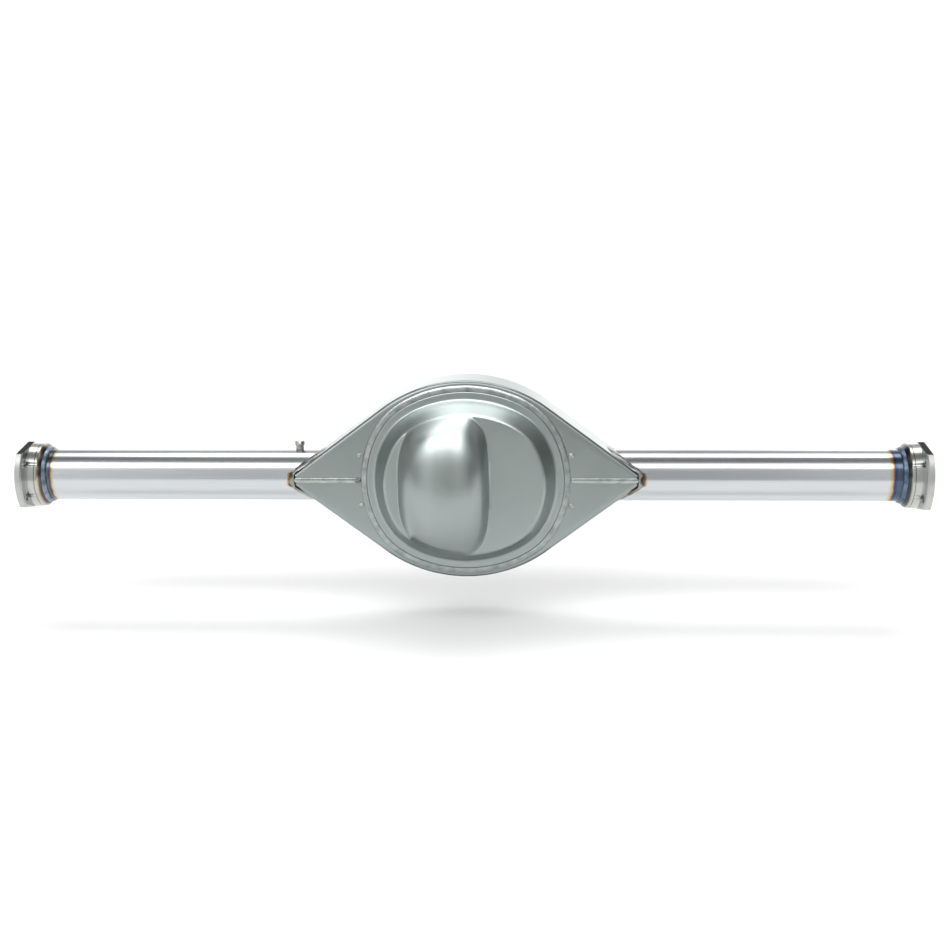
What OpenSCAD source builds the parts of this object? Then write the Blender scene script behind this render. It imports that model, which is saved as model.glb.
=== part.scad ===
// Rear drive axle housing, bare steel, welded from two pressed shells, a pressed rear cover,
// two tubes and two forged bearing ends. Millimetres. X runs along the axle, +Y is the front,
// where the differential carrier bolts on, and +Z is up. The origin is on the axle line in the
// middle of the carrier opening.

/* [Housing] */
// Width over the outer faces of the two end flanges
housing_width = 1320.8; // [1100:0.1:1800]
// How far the middle of the housing sits to the left of half width
centre_offset = 4; // [-40:0.5:40]

/* [Tubes] */
// Outside diameter of the axle tubes
tube_d = 76.2; // [70:0.1:84]
// Wall of the axle tubes
tube_wall = 6.35; // [3:0.05:9]
// Distance from the middle of the housing to the tubes' inner ends
tube_inner_end = 132; // [126:0.5:148]
// Gap between a tube and the flat walls of the shells
tube_gap = 0.3; // [0.2:0.05:1]

/* [Shells] */
// Height of the shell's crown above the axle line
shell_height = 145.5; // [140:0.5:156]
// Radius of the crown, seen from behind
shell_arc_r = 200; // [192:0.5:215]
// Slope of the wings
shell_slope = 36.6; // [35:0.1:38]
// Length cut off the point of a wing
tip_cut = 12; // [8:0.5:17]
// Sheet thickness of the shells
shell_wall = 4.8; // [3:0.1:5.6]
// Outside radius of the bend from the flat walls to the crown
shell_bend_r = 6.5; // [6:0.1:8]

/* [Rear cover] */
// Radius of the cover's flange at the sides
cover_flange_r = 143.5; // [141:0.5:147]
// Distance from the shell's edge to the cover's flange at the crown
cover_edge = 15; // [14:0.5:20]
// Width of the flange round the pan
cover_lip = 12; // [9:0.5:16]
// Sheet thickness of the cover
cover_wall = 4; // [2.5:0.1:5]
// Height of the pan's flat floor above the flange's outer face
pan_depth = 33; // [24:0.5:38]
// Angle of the pan's side wall off the pressing direction
pan_draft = 27; // [22:0.5:32]
// Radius of the bends at the pan's floor and flange
pan_bend_r = 6; // [4.5:0.5:8]
// Middle of the ring gear bulge along the axle
bulge_x = -30; // [-38:0.5:-20]
// Reach of the ring gear bulge from the axle line
bulge_reach = 135; // [130:0.5:142]
// Cross radius of the ring gear bulge on its left side
bulge_r = 64.5; // [60:0.5:66]
// Cross radius of the ring gear bulge on its right side
bulge_right_r = 50; // [46:0.5:56]
// Distance from the middle of the left cross radius to that of the right one
bulge_shift = 14; // [8:0.5:18]

/* [Carrier face] */
// Bore of the carrier ring
ring_bore_d = 235; // [228:0.5:238]
// Outside diameter of the carrier ring
ring_d = 269; // [268:0.5:272]
// Thickness of the carrier ring
ring_thick = 9.5; // [6:0.5:14]
// Diameter of the circle of carrier studs
stud_circle_d = 254; // [252:0.5:256]
// Number of carrier studs
stud_count = 10; // [8:2:12]
// Diameter of a carrier stud's thread
stud_d = 9.525; // [8:0.005:10]
// Diameter of a carrier stud's knurled shank
stud_shank_d = 10.3; // [10.1:0.1:11]
// How far the studs stand out of the carrier face
stud_reach = 30; // [20:1:45]
// Diameter of a stud's head
stud_head_d = 15; // [13:0.5:17]
// Thickness of a stud's head
stud_head = 4; // [2:0.5:6]
// Gap round a stud's shank
stud_gap = 0.1; // [0.05:0.05:0.2]

/* [Bearing ends] */
// Radius of the end flange at its front and rear
flange_r = 64; // [60:0.5:70]
// Thickness of the end flange
flange_thick = 9.5; // [7:0.5:14]
// Chamfer of the flange's round edge on its inner side
flange_chamfer = 2; // [0.5:0.5:4]
// Fall of the flange's upper and lower edges from their middle
flange_fall = 10.5; // [6:0.5:14]
// Diameter of the neck where it leaves the flange
neck_d = 97; // [94:0.5:102]
// Length of the neck
neck_len = 21.5; // [18:0.5:30]
// Draft of the forged neck
neck_draft = 4; // [0.5:0.5:6]
// Length of the neck's sloping shoulder
neck_shoulder = 5.5; // [4:0.5:8]
// Radius of the bend between the neck and its shoulder
neck_bend_r = 3; // [1:0.5:4]
// Diameter of the neck's end at its weld
neck_end_d = 83; // [82:0.5:88]
// Diameter of the wheel bearing's seat
bearing_d = 80; // [76:0.05:83]
// Depth of the wheel bearing's seat
bearing_depth = 20; // [16:0.5:22]
// Spacing of the brake plate's bolts, front to rear
bolt_spacing_y = 90.5; // [88:0.1:98]
// Spacing of the brake plate's bolts, up and down
bolt_spacing_z = 50.8; // [44:0.1:54]
// Diameter of the brake plate's bolt holes
bolt_hole_d = 10.3; // [9:0.1:14]

/* [Gussets] */
// How far the middle of a tube gusset lies past the rear cover's weld
gusset_step = 0.6; // [0.2:0.1:12]
// Thickness of a tube gusset
gusset_thick = 6; // [4:0.5:8]
// Height of a gusset's feet above the axle line
gusset_foot = 22; // [18:0.5:26]
// Height of the plug welds above the axle line
plug_z = 37; // [35.5:0.5:42]
// Diameter of a plug weld's hole
plug_hole_d = 6; // [4:0.5:7]
// Diameter of a plug weld's cap
plug_cap_d = 9; // [8:0.5:9.5]
// Height of a plug weld's cap
plug_cap_h = 1.6; // [0.8:0.1:2.4]

/* [Welds] */
// Leg of the weld round the rear cover
cover_weld = 8.8; // [6:0.2:9]
// Leg of the weld round the carrier ring
ring_weld = 4.4; // [3:0.1:4.6]
// Leg of the weld between a tube and its bearing end
end_weld = 6; // [4:0.5:8]
// Leg of the weld between a tube and the shells
shell_weld = 6; // [4:0.5:7]
// Width of the bead along the shells' seam
seam_w = 8.4; // [6:0.2:12]
// Height of the bead along the shells' seam
seam_h = 1.8; // [1:0.1:3]
// Gap left under a weld bead
weld_gap = 0.1; // [0.05:0.05:0.2]

/* [Vent] */
// Distance of the vent from the middle of the housing
vent_x = 247.5; // [242:0.5:300]
// Width over the flats of the vent's hexagon
vent_hex = 10; // [8:0.5:14]
// Height of the vent's hexagon
vent_hex_h = 5; // [3:0.5:8]
// Diameter of the vent's stem
vent_stem_d = 7.6; // [6:0.2:8]
// Diameter of the vent's cap
vent_cap_d = 14; // [12:0.5:18]
// Height of the vent's cap
vent_cap_h = 6.5; // [6:0.5:10]
// Width of the slot across the vent's cap
vent_slot = 5; // [2:0.5:7]
// Depth of the slot across the vent's cap
vent_slot_depth = 3.5; // [1:0.5:3.5]
// Length of the stem that shows below the vent's cap
vent_neck = 1.2; // [0.5:0.1:3]
// Depth of the stem's end in the vent's cap
vent_seat = 2; // [1.5:0.1:2.4]
// Bore of the vent
vent_bore_d = 3; // [2:0.5:4]

/* [Hidden] */
$fn = 96;

left_reach = housing_width / 2 - centre_offset;
right_reach = housing_width / 2 + centre_offset;
tube_r = tube_d / 2;
tube_bore_r = tube_r - tube_wall;
end_len = flange_thick + neck_len;

// Flat walls of the shells stand just clear of the tubes
wall_in = tube_r + tube_gap;
wall_out = wall_in + shell_wall;
arc_z = shell_height - shell_arc_r;
wing_apex = shell_arc_r * sin(shell_slope)
    + (arc_z + shell_arc_r * cos(shell_slope)) / tan(shell_slope);
shell_tip = wing_apex - tip_cut;
wing_length = 2 * shell_arc_r;
cavity_apex = wing_apex - shell_wall / sin(shell_slope);

// Outline of the rear cover: a circle trimmed by arcs that follow the shell's crown
cover_flange_arc_r = shell_arc_r - cover_edge;
pan_r = cover_flange_r - cover_lip;
pan_arc_r = cover_flange_arc_r - cover_lip;
bulge_height = bulge_reach - wall_out;

face_y = wall_out + ring_thick;
stud_hole_r = stud_shank_d / 2 + stud_gap;
vent_gap = 0.05;
vent_top = tube_r + vent_gap + vent_hex_h + vent_neck;
rear_seam_from = cover_flange_r + cover_weld + weld_gap;
front_seam_from = ring_d / 2 + ring_weld + weld_gap;
gusset_x = rear_seam_from + gusset_step;

// Step from the carrier ring's bore back to the shell's opening
opening_lip = 2;
// Inset that keeps the bulge's trimmed sides off the pan's own
hair = 0.01;
// Angle that each half of a shell is swept past the middle before trimming
past_middle = 2;
// How far a cut runs past a face
cut = 1;
// Longer than any cut through the housing
beyond = 400;

STEEL = [0.66, 0.68, 0.69];
PRESSED = [0.58, 0.61, 0.60];
FORGED = [0.62, 0.62, 0.62];
WELD = [0.50, 0.48, 0.46];

// Points of an arc about a centre, from one angle to another
function arc(centre, r, from, to, steps) = [
    for (i = [0:steps])
        let(turn = from + (to - from) * i / steps)
        centre + r * [cos(turn), sin(turn)]
];

// Stands a flat drawing of X and Z up, with its thickness towards the rear from the given Y
module stand(y = 0) {
    translate([0, y, 0]) rotate([90, 0, 0]) children();
}

// Turns a drawing of Y and Z so that it is extruded along +X
module along_x(x = 0) {
    translate([x, 0, 0]) rotate([90, 0, 90]) children();
}

// Turns a solid of revolution so that its axis is +X
module about_x(x = 0) {
    translate([x, 0, 0]) rotate([0, 90, 0]) children();
}

module left_or_right(side) {
    if (side == "left") mirror([1, 0, 0]) children();
    else children();
}

module upper_or_lower(half) {
    if (half == "lower") mirror([0, 0, 1]) children();
    else children();
}

// Section of a pressed shell: a long tongue with two rounded outer corners
function shell_section(r, half_depth, bend) = concat(
    [[0, -half_depth]],
    arc([r - bend, bend - half_depth], bend, -90, 0, 6),
    arc([r - bend, half_depth - bend], bend, 0, 90, 6),
    [[0, half_depth]]
);

// The section carried round the crown and on along both wings. Each half is swept with its wing
// level, turned down to the slope and trimmed at the middle plane, where the halves meet
module shell_form(r, half_depth, bend) {
    section = shell_section(r, half_depth, bend);
    for (flip = [0, 1]) mirror([flip, 0, 0]) intersection() {
        stand() translate([0, arc_z, 0]) rotate(-shell_slope) {
            rotate_extrude(start = 90, angle = shell_slope + past_middle) polygon(section);
            rotate([90, 0, 90]) linear_extrude(wing_length) polygon(section);
        }
        translate([0, -beyond, -beyond]) cube(2 * beyond);
    }
}

// The cover's outline, drawn in X and Z, with its side and crown radii
module trimmed_circle(side_r, crown_r) {
    intersection() {
        circle(side_r);
        translate([0, arc_z]) circle(crown_r);
        translate([0, -arc_z]) circle(crown_r);
    }
}

module at_studs() {
    for (i = [0:stud_count - 1])
        rotate([0, 90 - i * 360 / stud_count, 0]) translate([stud_circle_d / 2, 0, 0]) children();
}

module at_plugs() {
    for (x = [-1, 1], z = [-1, 1]) translate([x * gusset_x, 0, z * plug_z]) children();
}

module shell_half(half) {
    upper_or_lower(half) difference() {
        intersection() {
            shell_form(shell_arc_r, wall_out, shell_bend_r);
            translate([-shell_tip, -beyond / 2, 0]) cube([2 * shell_tip, beyond, beyond]);
        }
        shell_form(shell_arc_r - shell_wall, wall_in, shell_bend_r - shell_wall);
        about_x(-beyond) cylinder(r = tube_r + weld_gap, h = 2 * beyond);
        stand() linear_extrude(beyond) trimmed_circle(pan_r - cover_wall, pan_arc_r - cover_wall);
        stand(beyond) cylinder(d = ring_bore_d + 2 * opening_lip, h = beyond);
        at_studs() stand(beyond) cylinder(r = stud_hole_r, h = beyond);
        at_plugs() stand() cylinder(d = plug_hole_d + 2 * weld_gap, h = beyond);
    }
}

module upper_shell() {
    color(PRESSED) shell_half("upper");
}

module lower_shell() {
    color(PRESSED) shell_half("lower");
}

// Side of the pressed pan: its radius at a height above the flange's outer face
function pan_side(r, h) = r - h * tan(pan_draft);
// How far a bend's centre lies beside the meeting point of the straight sides
pan_bend_run = pan_bend_r * tan(45 - pan_draft / 2);
// Centre of the bend between the pan's side and its floor
function shoulder(r) = [
    pan_side(r, pan_depth) - pan_bend_run,
    cover_wall + pan_depth - pan_bend_r
];

// Half section of the cover's pan with its flange, for a flange and a pan radius
function pan_section(flange_r, r) = concat(
    [[0, 0], [flange_r, 0], [flange_r, cover_wall]],
    arc([r + pan_bend_run, cover_wall + pan_bend_r], pan_bend_r, -90, -180 + pan_draft, 5),
    arc(shoulder(r), pan_bend_r, pan_draft, 90, 5),
    [[0, cover_wall + pan_depth]]
);

// Half section of the hollow in the pan
function hollow_section(r) = concat(
    [[0, -cover_wall], [r - cover_wall, -cover_wall], [r - cover_wall, 0]],
    arc(shoulder(r), pan_bend_r - cover_wall, pan_draft, 90, 5),
    [[0, pan_depth]]
);

// Half section of the pan's side wall carried on past its floor, to trim the bulge
function tower_section(r, inset) = [
    [0, -cover_wall],
    [r - inset, -cover_wall],
    [r - inset, cover_wall],
    [pan_side(r, bulge_height) - inset, cover_wall + bulge_height],
    [0, cover_wall + bulge_height]
];

// One section revolved for the sides and another for the crowns, kept where all three meet
module trimmed_revolve(side, crown) {
    stand(-wall_out) intersection() {
        rotate_extrude() polygon(side);
        translate([0, arc_z, 0]) rotate_extrude() polygon(crown);
        translate([0, -arc_z, 0]) rotate_extrude() polygon(crown);
    }
}

// The room that the ring gear sweeps, rounded across, and tighter on its right side
module gear_ring(inset) {
    about_x(bulge_x) rotate_extrude()
        translate([bulge_reach - bulge_r, 0]) circle(bulge_r - inset);
    about_x(bulge_x + bulge_shift) rotate_extrude()
        translate([bulge_reach - bulge_right_r, 0]) circle(bulge_right_r - inset);
}

module rear_cover() {
    color(STEEL) difference() {
        union() {
            trimmed_revolve(pan_section(cover_flange_r, pan_r), pan_section(cover_flange_arc_r, pan_arc_r));
            intersection() {
                gear_ring(0);
                trimmed_revolve(tower_section(pan_r, hair), tower_section(pan_arc_r, hair));
                translate([-beyond / 2, -beyond - wall_out - cover_wall, -beyond / 2]) cube(beyond);
            }
        }
        trimmed_revolve(hollow_section(pan_r), hollow_section(pan_arc_r));
        intersection() {
            gear_ring(cover_wall);
            trimmed_revolve(tower_section(pan_r, cover_wall), tower_section(pan_arc_r, cover_wall));
        }
    }
}

module carrier_ring() {
    color(FORGED) stand(face_y) difference() {
        cylinder(d = ring_d, h = ring_thick);
        translate([0, 0, -cut]) cylinder(d = ring_bore_d, h = ring_thick + 2 * cut);
        for (i = [0:stud_count - 1])
            rotate(90 + i * 360 / stud_count) translate([stud_circle_d / 2, 0, -cut])
                cylinder(r = stud_hole_r, h = ring_thick + 2 * cut);
    }
}

module stud() {
    chamfer = stud_d / 8;
    grip = shell_wall + ring_thick;
    rotate_extrude() polygon([
        [0, -stud_head],
        [stud_head_d / 2, -stud_head],
        [stud_head_d / 2, 0],
        [stud_shank_d / 2, 0],
        [stud_shank_d / 2, grip],
        [stud_d / 2, grip],
        [stud_d / 2, grip + stud_reach - chamfer],
        [stud_d / 2 - chamfer, grip + stud_reach],
        [0, grip + stud_reach]
    ]);
}

module carrier_studs() {
    color("dimgray") at_studs() translate([0, wall_in, 0]) rotate([-90, 0, 0]) stud();
}

module tube(side, reach) {
    vent_hole_d = vent_stem_d + 2 * vent_gap;
    left_or_right(side) difference() {
        about_x(tube_inner_end) cylinder(r = tube_r, h = reach - end_len - tube_inner_end);
        about_x(0) cylinder(r = tube_bore_r, h = reach);
        if (side == "left") translate([vent_x, 0, 0]) cylinder(d = vent_hole_d, h = tube_d);
    }
}

module left_tube() {
    color(STEEL) tube("left", left_reach);
}

module right_tube() {
    color(STEEL) tube("right", right_reach);
}

// Section of an end flange, drawn in Y and Z, roofed above and below and wider than its round edge
module flange_roof() {
    reach = flange_r + cut;
    ridge = neck_d / 2 / cos(flange_fall);
    eave = ridge - reach * tan(flange_fall);
    polygon([[0, ridge], [reach, eave], [reach, -eave], [0, -ridge], [-reach, -eave], [-reach, eave]]);
}

// Half section of the flange's round form, from its inner face
flange_section = [
    [0, 0],
    [flange_r - flange_chamfer, 0],
    [flange_r, flange_chamfer],
    [flange_r, flange_thick],
    [0, flange_thick]
];

// Half section of a neck, from its weld to the flange: a shoulder, a bend and a drafted side
hub_len = neck_len - neck_shoulder;
hub_end_r = neck_d / 2 - hub_len * tan(neck_draft);
shoulder_turn = atan2(hub_end_r - neck_end_d / 2, neck_shoulder);
bend_offset = [cos(neck_draft) + cos(shoulder_turn), -sin(neck_draft) - sin(shoulder_turn)]
    / (1 + cos(shoulder_turn - neck_draft));
neck_section = concat(
    [[0, 0], [neck_end_d / 2, 0]],
    arc([hub_end_r, neck_shoulder] - neck_bend_r * bend_offset, neck_bend_r, -shoulder_turn, -neck_draft, 6),
    [[neck_d / 2, neck_len], [0, neck_len]]
);

// A forged end, with its outer face at X = 0 and its neck towards -X
module bearing_end() {
    mouth = 1;
    difference() {
        union() {
            intersection() {
                along_x(-flange_thick) linear_extrude(flange_thick) flange_roof();
                about_x(-flange_thick) rotate_extrude() polygon(flange_section);
            }
            about_x(-end_len) rotate_extrude() polygon(neck_section);
        }
        about_x(-end_len - cut) cylinder(r = tube_bore_r, h = end_len + 2 * cut);
        about_x(-bearing_depth) cylinder(d = bearing_d, h = bearing_depth + cut);
        about_x(-mouth) cylinder(d1 = bearing_d, d2 = bearing_d + 4 * mouth, h = 2 * mouth);
        for (y = [-1, 1], z = [-1, 1]) translate([0, y * bolt_spacing_y / 2, z * bolt_spacing_z / 2])
            about_x(-end_len - cut) cylinder(d = bolt_hole_d, h = end_len + 2 * cut);
    }
}

module left_bearing_end() {
    color(FORGED) left_or_right("left") translate([left_reach, 0, 0]) bearing_end();
}

module right_bearing_end() {
    color(FORGED) translate([right_reach, 0, 0]) bearing_end();
}

// A saddle plate between the shell's walls, seated on the tube, its upper corners cut off the bends
module gusset(side, half) {
    outer_x = gusset_x + gusset_thick / 2;
    top = (cavity_apex - outer_x) * tan(shell_slope) - tube_gap;
    half_w = wall_in - weld_gap;
    corner = shell_bend_r - shell_wall;
    left_or_right(side) upper_or_lower(half)
        along_x(outer_x - gusset_thick) linear_extrude(gusset_thick) difference() {
            polygon([
                [-half_w, gusset_foot], [half_w, gusset_foot],
                [half_w, top - corner], [half_w - corner, top],
                [corner - half_w, top], [-half_w, top - corner]
            ]);
            circle(tube_r + weld_gap);
        }
}

module left_upper_gusset() {
    color(PRESSED) gusset("left", "upper");
}

module left_lower_gusset() {
    color(PRESSED) gusset("left", "lower");
}

module right_upper_gusset() {
    color(PRESSED) gusset("right", "upper");
}

module right_lower_gusset() {
    color(PRESSED) gusset("right", "lower");
}

// Shares of a bead's leg and height at points along its rounded face
BEAD_FACE = [[1, 0], [0.86, 0.32], [0.62, 0.66], [0.3, 0.9], [0, 1]];
function bead_face_points(leg, height) = [for (share = BEAD_FACE) [share[0] * leg, share[1] * height]];

// Section of a fillet weld in the corner between a wall at the bottom and an edge at the left
function fillet_section(leg, height) = concat([[0, 0]], bead_face_points(leg, height));

function shifted(points, r) = [for (p = points) [p[0] + r, p[1]]];

// Half section of a disc whose rim is a fillet weld
function weld_disc(r) = concat(
    [[0, 0]],
    shifted(bead_face_points(cover_weld, cover_wall), r),
    [[0, cover_wall]]
);

module rear_cover_weld() {
    color(WELD) difference() {
        trimmed_revolve(weld_disc(cover_flange_r), weld_disc(cover_flange_arc_r));
        stand() linear_extrude(beyond) trimmed_circle(cover_flange_r, cover_flange_arc_r);
    }
}

module carrier_ring_weld() {
    color(WELD) translate([0, wall_out, 0]) rotate([-90, 0, 0])
        rotate_extrude() polygon(shifted(fillet_section(ring_weld, ring_weld), ring_d / 2));
}

// Weld from the neck's end face down to the tube
module end_bead(side, reach) {
    height = neck_end_d / 2 - tube_r;
    section = [for (p = fillet_section(end_weld, height)) [tube_r + p[1], -p[0]]];
    left_or_right(side) about_x(reach - end_len) rotate_extrude() polygon(section);
}

module left_end_weld() {
    color(WELD) end_bead("left", left_reach);
}

module right_end_weld() {
    color(WELD) end_bead("right", right_reach);
}

// The bead where the shells end on a tube is carried round the tube as one closed sweep. Its turns are
// counted from the top, with one at each corner between a wing's strip and its blunt tip
tip_turn = acos((wing_apex - shell_tip) * tan(shell_slope) / tube_r);
strip_steps = 30;
tip_steps = 6;
bead_spans = [
    [-tip_turn, tip_turn, strip_steps],
    [tip_turn, 180 - tip_turn, tip_steps],
    [180 - tip_turn, 180 + tip_turn, strip_steps],
    [180 + tip_turn, 360 - tip_turn, tip_steps]
];
bead_turns = [
    for (span = bead_spans, i = [0:span[2] - 1])
        span[0] + (span[1] - span[0]) * i / span[2]
];
function unit(v) = v / norm(v);
// Share of the way from the sloping strip to the blunt tip, at an angle round the tube from the top
function tip_share(turn) =
    let(x = wing_apex - tube_r * abs(cos(turn)) / tan(shell_slope))
    max(0, min(1, (x - shell_tip + shell_weld) / shell_weld));
function bead_x(turn) = min(shell_tip, wing_apex - tube_r * abs(cos(turn)) / tan(shell_slope));
function bead_face(turn) =
    let(up = cos(turn) < 0 ? -1 : 1, share = tip_share(turn))
    unit((1 - share) * [sin(shell_slope), 0, up * cos(shell_slope)] + share * [1, 0, 0]);
function bead_ring(turn) =
    let(
        out = [0, sin(turn), cos(turn)],
        face = bead_face(turn),
        along = unit(cross(face, out)),
        up_face = cross(along, face),
        off_face = cross(out, along),
        corner = [bead_x(turn), 0, 0] + (tube_r + weld_gap) * out + weld_gap * face,
        leg = shell_weld - tip_share(turn) * max(0, shell_weld - shell_wall)
    )
    [for (p = fillet_section(leg, leg)) corner + p[0] * off_face + p[1] * up_face];

module tube_bead() {
    rings = [for (turn = bead_turns) bead_ring(turn)];
    count = len(rings);
    sides = len(rings[0]);
    points = [for (ring = rings, p = ring) p];
    faces = [for (i = [0:count - 1], j = [0:sides - 1])
        let(a = i * sides, b = ((i + 1) % count) * sides, k = (j + 1) % sides)
        each [[a + j, b + j, a + k], [b + j, b + k, a + k]]];
    polyhedron(points, faces);
}

module left_shell_weld() {
    color(WELD) left_or_right("left") tube_bead();
}

module right_shell_weld() {
    color(WELD) tube_bead();
}

// A low bead along the seam between the shells
module seam_bead(side, from, y) {
    facing = y < 0 ? 0 : 1;
    section = [for (p = arc([0, 0], 1, 90, 270, 8)) [p[0] * seam_h - wall_out, p[1] * seam_w / 2]];
    left_or_right(side) mirror([0, facing, 0]) along_x(from) linear_extrude(shell_tip - from) polygon(section);
}

module left_rear_seam() {
    color(WELD) seam_bead("left", rear_seam_from, -1);
}

module right_rear_seam() {
    color(WELD) seam_bead("right", rear_seam_from, -1);
}

module left_front_seam() {
    color(WELD) seam_bead("left", front_seam_from, 1);
}

module right_front_seam() {
    color(WELD) seam_bead("right", front_seam_from, 1);
}

module plug_welds() {
    shank_r = plug_hole_d / 2;
    color(WELD) at_plugs() stand(-wall_out) rotate_extrude() polygon(concat(
        [[0, -shell_wall], [shank_r, -shell_wall], [shank_r, 0]],
        bead_face_points(plug_cap_d / 2, plug_cap_h)
    ));
}

module vent_body() {
    color("silver") translate([-vent_x, 0, 0]) difference() {
        union() {
            translate([0, 0, tube_bore_r]) cylinder(d = vent_stem_d, h = vent_top + vent_seat - tube_bore_r);
            translate([0, 0, tube_r + vent_gap]) cylinder(d = vent_hex / cos(30), h = vent_hex_h, $fn = 6);
        }
        cylinder(d = vent_bore_d, h = 2 * tube_d);
    }
}

module vent_cap() {
    color("silver") translate([-vent_x, 0, vent_top]) difference() {
        cylinder(d = vent_cap_d, h = vent_cap_h);
        translate([0, 0, -cut]) cylinder(d = vent_stem_d + 2 * vent_gap, h = cut + vent_seat + vent_gap);
        translate([-vent_slot / 2, -vent_cap_d, vent_cap_h - vent_slot_depth])
            cube([vent_slot, 2 * vent_cap_d, vent_cap_h]);
    }
}

upper_shell();
lower_shell();
rear_cover();
carrier_ring();
carrier_studs();
left_tube();
right_tube();
left_bearing_end();
right_bearing_end();
left_upper_gusset();
left_lower_gusset();
right_upper_gusset();
right_lower_gusset();
rear_cover_weld();
carrier_ring_weld();
left_end_weld();
right_end_weld();
left_shell_weld();
right_shell_weld();
left_rear_seam();
right_rear_seam();
left_front_seam();
right_front_seam();
plug_welds();
vent_body();
vent_cap();
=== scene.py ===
"""Looks of a bare welded axle housing, built round its packed frame.

The frame gives the places and main sizes. Shells, cover, tubes, studs and weld beads are surfaces
worked out from formulas; the forged ends, carrier ring, gussets and vent are the frame's own nodes.
"""

import math
from types import SimpleNamespace

import bmesh
import bpy
import numpy as np
from bpy.props import FloatProperty, IntProperty, PointerProperty, StringProperty
from bpy.types import NodeSocket, Operator, Panel, PropertyGroup
from mathutils import Matrix, Vector


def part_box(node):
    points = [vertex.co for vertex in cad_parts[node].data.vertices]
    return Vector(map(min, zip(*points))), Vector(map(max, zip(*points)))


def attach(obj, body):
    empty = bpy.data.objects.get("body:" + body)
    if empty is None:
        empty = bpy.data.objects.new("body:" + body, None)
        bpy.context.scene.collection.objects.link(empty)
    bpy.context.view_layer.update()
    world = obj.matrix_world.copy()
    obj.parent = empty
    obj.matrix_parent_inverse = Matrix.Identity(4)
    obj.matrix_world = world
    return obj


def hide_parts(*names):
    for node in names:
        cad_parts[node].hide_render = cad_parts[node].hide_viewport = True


bl_info = {
    "name": "Axle housing",
    "version": (1, 0, 0),
    "blender": (4, 5, 0),
    "location": "View3D > Sidebar > Housing",
    "description": "Builds a bare steel axle housing with its welds and heat tint",
    "category": "Add Mesh",
}

MM = 0.001
BODY = "root"

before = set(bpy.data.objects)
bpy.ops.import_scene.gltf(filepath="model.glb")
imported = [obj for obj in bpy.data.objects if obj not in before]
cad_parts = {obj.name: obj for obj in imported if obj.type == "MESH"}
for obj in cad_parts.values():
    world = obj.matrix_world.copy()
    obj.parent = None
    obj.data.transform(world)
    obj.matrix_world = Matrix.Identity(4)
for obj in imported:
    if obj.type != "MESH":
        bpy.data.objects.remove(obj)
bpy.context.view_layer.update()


# Settings


def length(name, description, mm):
    """A length, given in millimetres and kept in metres."""
    return FloatProperty(
        name=name, description=description, default=mm * MM, subtype="DISTANCE", unit="LENGTH"
    )


def angle(name, description, degrees):
    """An angle, given in degrees and kept in radians."""
    return FloatProperty(
        name=name, description=description, default=math.radians(degrees), subtype="ANGLE", unit="ROTATION"
    )


def share(name, description, value):
    """A share from 0 to 1."""
    return FloatProperty(name=name, description=description, default=value, min=0, max=1, subtype="FACTOR")


def tone(name, description, hex_colour):
    """A colour as an sRGB hex value."""
    return StringProperty(name=name, description=description, default=hex_colour)


class CoverSettings(PropertyGroup):
    """Rear cover"""

    lip: length("Lip", "Width of the flange round the pan", 12)
    wall: length("Wall", "Sheet thickness of the cover", 4)
    depth: length("Depth", "Height of the pan's floor over the flange", 33)
    draft: angle("Draft", "Angle of the pan's side off the pressing direction", 27)
    bend: length("Bend", "Radius of the bends at the pan's floor and flange", 6)
    bulge_x: length("Bulge place", "Middle of the bulge's left side along the axle", -30)
    bulge_r: length("Bulge radius", "Cross radius of the bulge's left side", 64.5)
    shift: length("Bulge shift", "Middle of the bulge's right side past the left", 14)
    right_r: length("Bulge right radius", "Cross radius of the bulge's right side", 50)
    crease: length("Crease", "Height over which the bulge blends into the floor", 11)
    crown: length("Crown", "Softness where the bulge meets the pan's side", 4)
    corner: length("Corner", "Softness of the outline's corners", 3)
    edge: length("Edge", "Rounding of the flange's edge", 2)


class ShellSettings(PropertyGroup):
    """Pressed shells"""

    arc_r: length("Crown radius", "Radius of the crown, seen from behind", 200)
    slope: angle("Wing slope", "Slope of the wings", 36.6)
    wall: length("Wall", "Sheet thickness of the shells", 4.8)
    bend: length("Bend", "Outside radius of the bend to the crown", 6.5)
    cover_edge: length("Cover's edge", "Shell's edge to the cover's flange at the crown", 15)
    rear_opening: length("Rear opening", "Radius of the opening behind the cover", 127.5)
    front_opening: length("Front opening", "Radius of the opening behind the carrier ring", 119.5)
    tube_wall: length("Tube wall", "Wall of the axle tubes", 6.35)
    tube_ease: length("Tube edge", "Rounding of the tubes' end edges", 0.6)


class StudSettings(PropertyGroup):
    """Carrier studs"""

    count: IntProperty(name="Studs", description="Number of carrier studs", default=10, min=1)
    thread_d: length("Thread", "Outside diameter of the thread", 9.525)
    pitch: length("Pitch", "Pitch of the thread", 1.588)
    cut: length("Thread depth", "Depth of the thread", 0.85)
    run_out: length("Run-out", "Length over which the thread fades into the shank", 2)
    shank_d: length("Shank", "Diameter of the knurled shank", 10.3)
    head_d: length("Head", "Diameter of the head", 15)
    head: length("Head height", "Thickness of the head", 4)
    chamfer: length("Chamfer", "Chamfer at the stud's tip", 1.2)


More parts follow.
